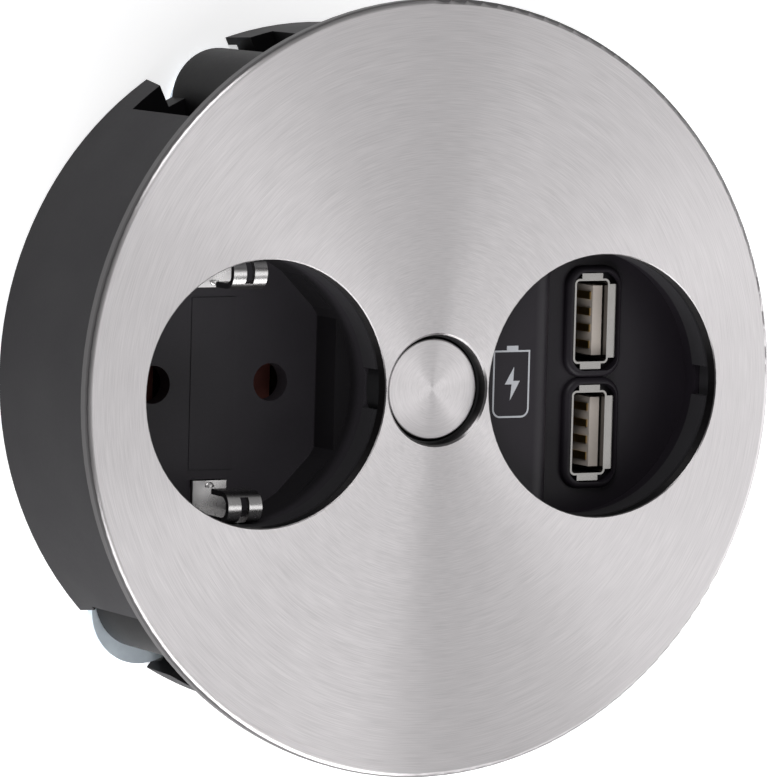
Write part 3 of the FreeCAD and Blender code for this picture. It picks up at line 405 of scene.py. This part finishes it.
def finishPiece(name, body, material):
    piece = bpy.context.active_object
    piece.name = name
    piece.data.name = name
    piece.data.materials.clear()
    piece.data.materials.append(material)
    bpy.ops.object.transform_apply(location=True, rotation=True, scale=True)
    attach(piece, body)
    return piece


def addPolygon(corners, height):
    bpy.ops.object.select_all(action="DESELECT")
    bpy.ops.mesh.primitive_circle_add(vertices=len(corners), radius=mm, fill_type="NGON",
                                      location=(0, 0, 0))
    mesh = bpy.context.active_object.data
    for vertex, (x, y) in zip(mesh.vertices, corners):
        vertex.co = (x * mm, y * mm, height)


def thicken(thickness):
    bpy.ops.object.mode_set(mode="EDIT")
    bpy.ops.mesh.select_all(action="SELECT")
    bpy.ops.mesh.extrude_region_move(TRANSFORM_OT_translate={"value": (0, 0, thickness)})
    bpy.ops.mesh.select_all(action="SELECT")
    bpy.ops.mesh.normals_make_consistent(inside=False)
    bpy.ops.object.mode_set(mode="OBJECT")


sign = {"left": 10.8, "right": 16.9, "bottom": -4.6, "top": 5.2, "line": 0.26, "corner": 1.3,
        "cornerSteps": 6, "capLeft": 13.0, "capRight": 14.9, "capHeight": 0.65, "raise": 0.02,
        "gap": 0.004, "ink": (0.42, 0.43, 0.46),
        "bolt": [(14.3, 2.8), (12.8, 0.25), (13.95, 0.25), (13.7, -2.1), (15.3, 0.75), (14.2, 0.75)]}


# The charging sign: a battery outline with its cap and a bolt, printed on the plateau.
def makeSign(look):
    low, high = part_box("usb_insert")
    surface = high[2] + look["gap"] * mm
    ink = plastic("signInk", look["ink"], 0.5, spread=0.05)
    bpy.ops.object.select_all(action="DESELECT")
    bpy.ops.mesh.primitive_plane_add(size=1, location=(0, 0, 0))
    outline = bpy.context.active_object.data
    for vertex in outline.vertices:
        x = look["left"] if vertex.co.x < 0 else look["right"]
        y = look["bottom"] if vertex.co.y < 0 else look["top"]
        vertex.co = (x * mm, y * mm, surface)
    bpy.ops.object.mode_set(mode="EDIT")
    bpy.ops.mesh.select_mode(type="VERT")
    bpy.ops.mesh.select_all(action="DESELECT")
    bpy.ops.object.mode_set(mode="OBJECT")
    for vertex in outline.vertices:
        vertex.select = vertex.co.y < 0
    bpy.ops.object.mode_set(mode="EDIT")
    bpy.ops.mesh.bevel(offset=look["corner"] * mm, segments=look["cornerSteps"], affect="VERTICES")
    bpy.ops.mesh.select_all(action="SELECT")
    bpy.ops.mesh.inset(thickness=look["line"] * mm)
    bpy.ops.mesh.delete(type="FACE")
    bpy.ops.object.mode_set(mode="OBJECT")
    thicken(look["raise"] * mm)
    finishPiece("batteryOutline", "base", ink)
    capTop = look["top"] + look["capHeight"]
    cap = [(look["capLeft"], look["top"]), (look["capRight"], look["top"]),
           (look["capRight"], capTop), (look["capLeft"], capTop)]
    for name, corners in (("batteryCap", cap), ("batteryBolt", look["bolt"])):
        addPolygon(corners, surface)
        thicken(look["raise"] * mm)
        finishPiece(name, "base", ink)


makeSign(sign)
print("charging sign made")


finger = {"middle": -28.0, "tip": 14.1, "root": 18.4, "halfWidth": 0.75, "base": -12.2, "flatten": 0.35,
          "segments": 24, "rings": 12, "smoothAngle": 40.0, "tipFacing": 0.99}


# The sprung finger stamped in each earth plate: a half-round bead with a round tip.
def makeFinger(look, side):
    bpy.ops.object.select_all(action="DESELECT")
    bpy.ops.mesh.primitive_uv_sphere_add(segments=look["segments"], ring_count=look["rings"],
                                         radius=look["halfWidth"] * mm, location=(0, 0, 0))
    mesh = bpy.context.active_object.data
    bpy.ops.object.mode_set(mode="EDIT")
    bpy.ops.mesh.select_mode(type="VERT")
    bpy.ops.mesh.select_all(action="SELECT")
    bpy.ops.mesh.bisect(plane_co=(0, 0, 0), plane_no=(0, side, 0), use_fill=True, clear_outer=True)
    bpy.ops.mesh.select_all(action="DESELECT")
    bpy.ops.object.mode_set(mode="OBJECT")
    for face in mesh.polygons:
        face.select = face.normal.y * side > look["tipFacing"]
    bpy.ops.object.mode_set(mode="EDIT")
    bpy.ops.mesh.select_mode(type="FACE")
    bpy.ops.mesh.extrude_region_move(
        TRANSFORM_OT_translate={"value": (0, side * (look["root"] - look["tip"]) * mm, 0)})
    bpy.ops.mesh.select_all(action="SELECT")
    bpy.ops.transform.resize(value=(1, 1, look["flatten"]), center_override=(0, 0, 0))
    bpy.ops.transform.translate(
        value=(look["middle"] * mm, side * (look["tip"] + look["halfWidth"]) * mm, look["base"] * mm))
    bpy.ops.mesh.normals_make_consistent(inside=False)
    bpy.ops.object.mode_set(mode="OBJECT")
    bpy.ops.object.shade_smooth_by_angle(angle=math.radians(look["smoothAngle"]))
    finishPiece("earthFingerBack" if side > 0 else "earthFingerFront", "base",
                finishes["earth_nickel"])


for fingerSide in (-1, 1):
    makeFinger(finger, fingerSide)
print("earth fingers made")


# stage, lights and camera

stage = {"floorColour": (0.86, 0.86, 0.87), "floorSize": 4.0, "underGap": 0.0002, "worldGrey": 0.2,
         "lift": 0.55, "floorRoughness": 0.9, "floorGrain": 300.0, "floorPatch": 4.0, "patchTone": 0.98,
         "patchRange": (0.3, 1.0)}
lamps = {
    "rightSoftbox": {"place": (1.1, -0.15, 0.42), "size": (0.6, 1.4), "power": 4.0},
    "highSoftbox": {"place": (0.6, -0.1, 1.0), "size": (0.5, 0.5), "power": 0.6},
    "frontRightSoftbox": {"place": (0.9, -0.8, 0.4), "size": (0.6, 0.6), "power": 1.9},
    "frontSoftbox": {"place": (0.05, -0.5, 0.2), "size": (0.35, 0.35), "power": 2.3},
    "leftSoftbox": {"place": (-0.3, -0.42, 0.25), "size": (0.4, 0.4), "power": 2.1},
    "backSoftbox": {"place": (-0.5, 0.9, 0.7), "size": (0.6, 0.6), "power": 6.2},
}
camera = {"place": (-0.4777, 0.0883, 0.84669), "aim": (-0.00878, -0.00008, 0.004), "roll": 1.4766,
          "lens": 312.04, "sensor": 36.0, "clipStart": 0.05}


# Lifts a surface towards white for camera, glossy and transmission rays, and leaves its shadows on it.
def liftSeen(tree, shader, end, strength):
    path = tree.nodes.new("ShaderNodeLightPath")
    mirrored = addNode(tree, "ShaderNodeMath", operation="MAXIMUM")
    join(tree, path, "Is Camera Ray", mirrored, 0)
    join(tree, path, "Is Glossy Ray", mirrored, 1)
    seen = addNode(tree, "ShaderNodeMath", operation="MAXIMUM")
    join(tree, mirrored, "Value", seen, 0)
    join(tree, path, "Is Transmission Ray", seen, 1)
    glow = addNode(tree, "ShaderNodeEmission", Strength=strength)
    lifted = tree.nodes.new("ShaderNodeAddShader")
    join(tree, shader, 0, lifted, 0)
    join(tree, glow, 0, lifted, 1)
    mix = tree.nodes.new("ShaderNodeMixShader")
    join(tree, seen, "Value", mix, "Fac")
    join(tree, shader, 0, mix, 1)
    join(tree, lifted, 0, mix, 2)
    join(tree, mix, 0, end, "Surface")


def makeFloor(look):
    bpy.ops.object.select_all(action="DESELECT")
    bpy.ops.mesh.primitive_plane_add(size=look["floorSize"], location=(0, 0, 0))
    floor = bpy.context.active_object
    floor.name = "floor"
    for vertex in floor.data.vertices:
        vertex.co.z = cadBox[0][2] - look["underGap"]
    material, tree, shader = startMaterial("floorPaint", look["floorColour"], look["floorRoughness"])
    marks = useGroup(tree, grain, Grain_Scale=look["floorGrain"], Patch_Scale=look["floorPatch"])
    ramp = rampColour(tree, marks, "Tone", tinted(look["floorColour"], look["patchTone"]),
                      look["floorColour"], *look["patchRange"])
    join(tree, ramp, "Color", shader, "Base Color")
    liftSeen(tree, shader, tree.nodes["Material Output"], look["lift"])
    floor.data.materials.append(material)


def makeWorld(look):
    world = bpy.data.worlds.new("studio")
    bpy.context.scene.world = world
    world.use_nodes = True
    light = world.node_tree.nodes["Background"]
    light.inputs["Color"].default_value = (1, 1, 1, 1)
    light.inputs["Strength"].default_value = look["worldGrey"]


def makeLamp(name, look):
    place = Vector(look["place"])
    bpy.ops.object.light_add(type="AREA", location=place)
    lamp = bpy.context.active_object
    lamp.name = name
    lamp.data.shape = "RECTANGLE"
    lamp.data.size, lamp.data.size_y = look["size"]
    lamp.data.energy = look["power"]
    lamp.rotation_euler = (-place).to_track_quat("-Z", "Y").to_euler()


def makeCamera(look):
    place = Vector(look["place"])
    back = (place - Vector(look["aim"])).normalized()
    right = Vector((0, 1, 0)).cross(back).normalized()
    up = back.cross(right)
    turn = Matrix((right, up, back)).transposed().to_4x4()
    roll = Matrix.Rotation(math.radians(look["roll"]), 4, back)
    data = bpy.data.cameras.new("photoCamera")
    data.lens = look["lens"]
    data.sensor_width = look["sensor"]
    data.clip_start = look["clipStart"]
    seen = bpy.data.objects.new("photoCamera", data)
    bpy.context.scene.collection.objects.link(seen)
    seen.matrix_world = Matrix.Translation(place) @ roll @ turn
    bpy.context.scene.camera = seen


makeFloor(stage)
makeWorld(stage)
for lampName, lampLook in lamps.items():
    makeLamp(lampName, lampLook)
makeCamera(camera)
bpy.context.scene.view_settings.view_transform = "Standard"
print("stage, lamps and camera set")
